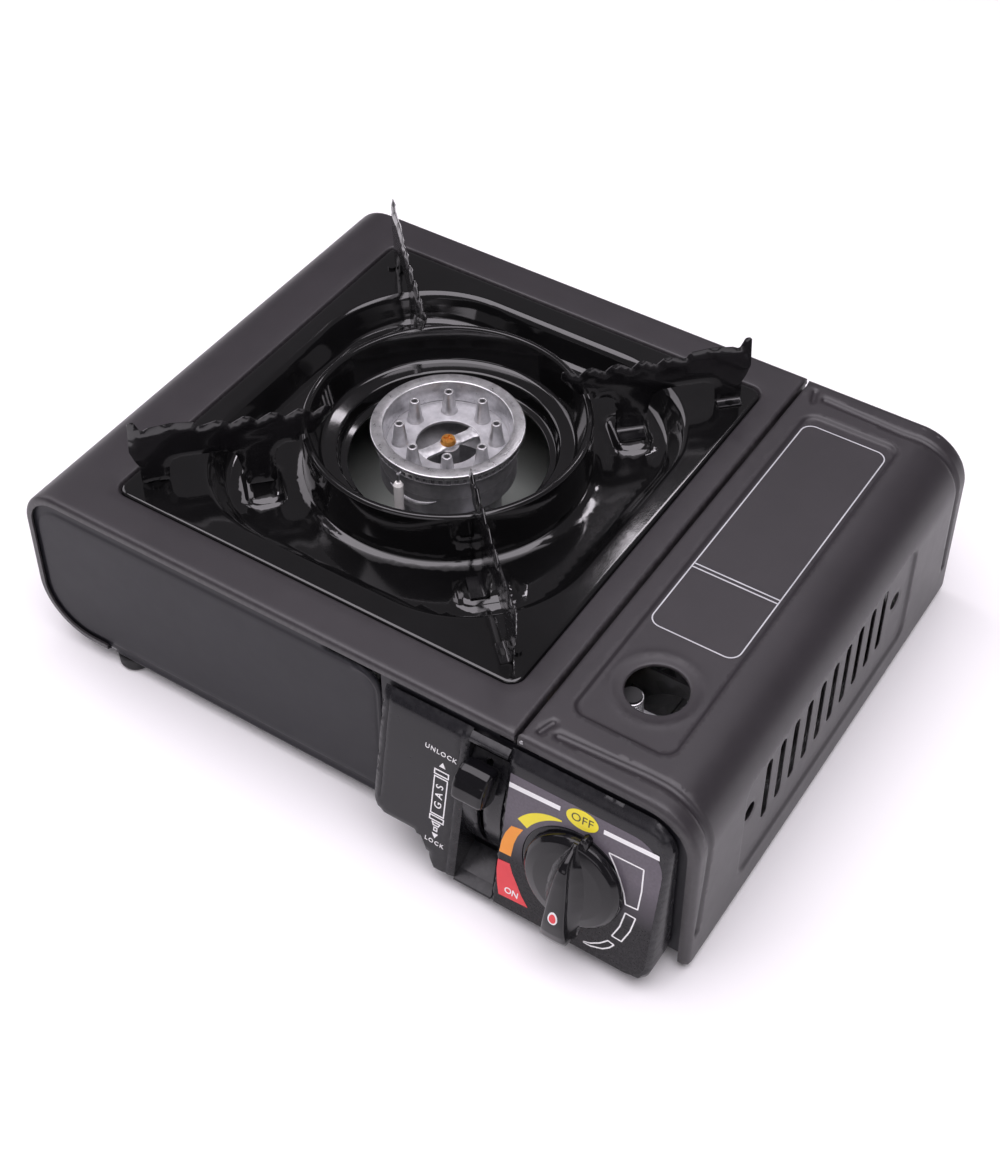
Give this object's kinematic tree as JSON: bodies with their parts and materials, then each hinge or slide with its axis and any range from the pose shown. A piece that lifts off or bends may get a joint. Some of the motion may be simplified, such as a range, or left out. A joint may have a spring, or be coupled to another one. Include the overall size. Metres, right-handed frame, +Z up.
{
  "type": "butane cassette stove",
  "caption": "Tabletop gas stove with a lift-out enamel tray, four pan supports, a round burner, a hinged cartridge bay cover, a turning control knob and a cartridge lock lever.",
  "frame": {"origin": "on the table, under the middle of the whole outline", "axes": "+X along the length towards the cartridge bay, -Y towards the controls, +Z up"},
  "size_m": [0.34, 0.2822, 0.129],
  "materials": {
    "satin_panel": "satin dark grey paint",
    "satin_cover": "satin black stove paint",
    "galvanised": "plain zinc-coated sheet",
    "black_moulding": "fine-grained black moulding",
    "printed_plate": "printed plastic sheet",
    "steel": "bright zinc-plated steel",
    "cast_alloy": "as-cast aluminium",
    "machined_alloy": "turned aluminium",
    "brass": "plain turned brass",
    "rubber": "soft black rubber",
    "lead": "silicone-covered wire",
    "ceramic": "glazed white ceramic",
    "enamel": "deep glossy black vitreous enamel on steel",
    "gloss_moulding": "glossy black moulding",
    "red_mark": "red print"
  },
  "bodies": {
    "casing": {"base_pan": "satin_panel", "main_cover": "satin_cover", "front_panel": "satin_panel", "rear_panel": "satin_panel", "partition_wall": "galvanised", "valve_mount_plate": "satin_panel", "control_panel": "black_moulding", "control_plate": "printed_plate", "reflector_plate": "galvanised", "burner_bracket": "galvanised", "bracket_screws": "steel", "burner_body": "cast_alloy", "burner_head": "machined_alloy", "burner_screw": "brass", "mixing_tube": "cast_alloy", "gas_injector": "brass", "regulator_body": "cast_alloy", "regulator_diaphragm": "rubber", "regulator_cap": "steel", "cap_screws": "steel", "regulator_bracket": "galvanised", "safety_spring": "steel", "safety_plunger": "brass", "valve_body": "brass", "cartridge_socket": "brass", "nozzle_seal": "rubber", "cartridge_guide": "galvanised", "slide_guides": "galvanised", "piezo_igniter": "black_moulding", "ignition_lead": "lead", "electrode_ceramic": "ceramic", "electrode_tip": "steel", "electrode_clip": "galvanised", "lever_bracket": "galvanised", "lever_pin": "steel", "hinge_pins": "steel", "feet": "rubber", "foot_screws": "steel", "rear_screws": "steel"},
    "gas_cover_body": {"gas_cover": "satin_cover"},
    "tray_body": {"drip_tray": "enamel", "pan_support_front_left": "enamel", "pan_support_front_right": "enamel", "pan_support_rear_left": "enamel", "pan_support_rear_right": "enamel", "support_rivets": "enamel"},
    "knob_body": {"control_knob": "gloss_moulding", "knob_mark": "red_mark", "valve_stem": "brass"},
    "lever_body": {"lock_lever": "gloss_moulding", "lever_arm": "galvanised"},
    "slide_body": {"cartridge_slide": "galvanised", "slide_link": "galvanised"}
  },
  "joints": [
    {"name": "gas_cover_hinge", "type": "hinge", "parent": "casing", "child": "gas_cover_body", "pos_m": [0.0905, 0.01461, 0.0914], "axis": [0, -1, 0], "range_deg": [0, 95]},
    {"name": "tray_lift", "type": "slide", "parent": "casing", "child": "tray_body", "axis": [0, 0, 1], "range_m": [0, 0.06]},
    {"name": "knob_turn", "type": "hinge", "parent": "casing", "child": "knob_body", "pos_m": [0.1235, -0.12341, 0.04335], "axis": [0, -0.983, 0.1834], "range_deg": [0, 135]},
    {"name": "lever_swing", "type": "hinge", "parent": "casing", "child": "lever_body", "pos_m": [0.077, -0.07339, 0.046], "axis": [1, 0, 0], "range_deg": [0, 53]},
    {"name": "cartridge_push", "type": "slide", "parent": "casing", "child": "slide_body", "axis": [0, -1, 0], "range_m": [0, 0.00803]}
  ],
  "couplings": [
    {"joint": "lever_swing", "follows": "cartridge_push", "rad_per_m": 115.19}
  ]
}
